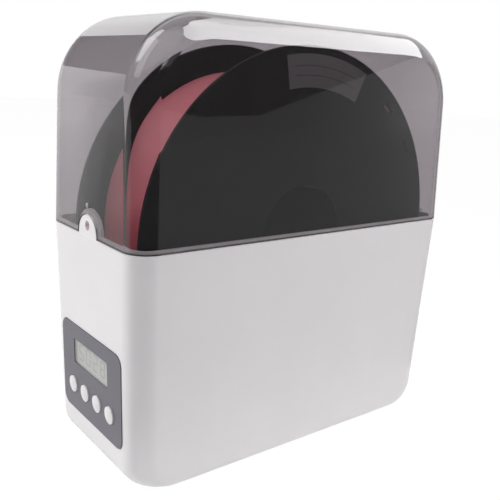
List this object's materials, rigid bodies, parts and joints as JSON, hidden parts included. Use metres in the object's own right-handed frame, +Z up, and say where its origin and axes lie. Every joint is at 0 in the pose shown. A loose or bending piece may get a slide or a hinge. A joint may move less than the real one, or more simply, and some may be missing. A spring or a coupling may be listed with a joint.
{
  "type": "filament dryer box",
  "caption": "Upright dryer box for one spool of printer filament: white housing with a display and buttons on its end, clear smoke lid hinged at the other end, spool on weighing rollers.",
  "frame": {"origin": "on the ground under the middle of the whole part's box, hinge included", "axes": "+Z up; +X towards the end with the lid's hinge and the DC inlet; -X towards the end with the control panel and the filament outlet; -Y towards the plain front face"},
  "size_m": [0.228, 0.1, 0.237],
  "materials": {
    "white_shell": "satin",
    "base_plastic": "matte",
    "liner_plastic": "satin",
    "smoke_clear": "gloss",
    "rubber": "matte",
    "steel": "satin",
    "spring_steel": "satin",
    "bezel_grey": "satin",
    "window_clear": "gloss",
    "lcd_glass": "gloss",
    "backlight": "satin",
    "circuit_board": "satin",
    "black_plastic": "satin",
    "contact_brass": "satin",
    "heater_aluminium": "satin",
    "heater_film": "satin",
    "sensor_bead": "satin",
    "carriage_plastic": "satin",
    "bush_plastic": "satin",
    "spool_black": "satin",
    "filament_rose": "satin",
    "wire_red": "satin"
  },
  "bodies": {
    "case": {"housing": "white_shell", "base_plate": "base_plastic", "rubber_feet": "rubber", "base_screws": "steel", "chamber_liner": "liner_plastic", "liner_screws": "steel", "hinge_pin": "steel", "control_bezel": "bezel_grey", "lcd_window": "window_clear", "lcd_panel": "lcd_glass", "lcd_backlight": "backlight", "display_board": "circuit_board", "display_screws": "steel", "tact_switches": "black_plastic", "heat_plate": "heater_aluminium", "heat_plate_screws": "steel", "heater_film": "heater_film", "thermal_cutout": "black_plastic", "plate_thermistor": "sensor_bead", "humidity_sensor": "backlight", "load_cell": "heater_aluminium", "load_cell_screws": "steel", "roller_carriage": "carriage_plastic", "axle_bushes": "bush_plastic", "power_board": "circuit_board", "power_components": "black_plastic", "power_screws": "steel", "wiring": "wire_red", "dc_inlet": "black_plastic", "dc_inlet_pin": "contact_brass", "dc_inlet_nut": "steel"},
    "lid": {"lid": "smoke_clear"},
    "spool": {"spool_front_flange": "spool_black", "spool_back_flange": "spool_black", "spool_core": "spool_black", "spool_bore_tube": "spool_black", "filament": "filament_rose"},
    "left_roller": {"left_roller_axle": "steel", "left_roller_wheels": "bush_plastic", "left_roller_tyres": "rubber", "left_roller_clips": "spring_steel"},
    "right_roller": {"right_roller_axle": "steel", "right_roller_wheels": "bush_plastic", "right_roller_tyres": "rubber", "right_roller_clips": "spring_steel"},
    "button_1": {"button_1": "white_shell", "switch_plunger_1": "contact_brass"},
    "button_2": {"button_2": "white_shell", "switch_plunger_2": "contact_brass"},
    "button_3": {"button_3": "white_shell", "switch_plunger_3": "contact_brass"},
    "button_4": {"button_4": "white_shell", "switch_plunger_4": "contact_brass"}
  },
  "joints": [
    {"name": "lid_hinge", "type": "hinge", "parent": "case", "child": "lid", "pos_m": [0.1108, 0, 0.127], "axis": [0, 1, 0], "range_deg": [0, 100]},
    {"name": "spool_spin", "type": "hinge", "parent": "case", "child": "spool", "pos_m": [-0.0003, 0, 0.1245], "axis": [0, 1, 0], "continuous": true},
    {"name": "left_roller_spin", "type": "hinge", "parent": "case", "child": "left_roller", "pos_m": [-0.0583, 0, 0.02951], "axis": [0, 1, 0], "continuous": true},
    {"name": "right_roller_spin", "type": "hinge", "parent": "case", "child": "right_roller", "pos_m": [0.0577, 0, 0.02951], "axis": [0, 1, 0], "continuous": true},
    {"name": "button_1_press", "type": "slide", "parent": "case", "child": "button_1", "axis": [0.9998, 0, 0.0209], "range_m": [0, 0.0008], "stiffness_N_per_m": 1500},
    {"name": "button_2_press", "type": "slide", "parent": "case", "child": "button_2", "axis": [0.9998, 0, 0.0209], "range_m": [0, 0.0008], "stiffness_N_per_m": 1500},
    {"name": "button_3_press", "type": "slide", "parent": "case", "child": "button_3", "axis": [0.9998, 0, 0.0209], "range_m": [0, 0.0008], "stiffness_N_per_m": 1500},
    {"name": "button_4_press", "type": "slide", "parent": "case", "child": "button_4", "axis": [0.9998, 0, 0.0209], "range_m": [0, 0.0008], "stiffness_N_per_m": 1500}
  ],
  "couplings": [
    {"joint": "left_roller_spin", "follows": "spool_spin", "ratio": -11.333},
    {"joint": "right_roller_spin", "follows": "spool_spin", "ratio": -11.333}
  ]
}
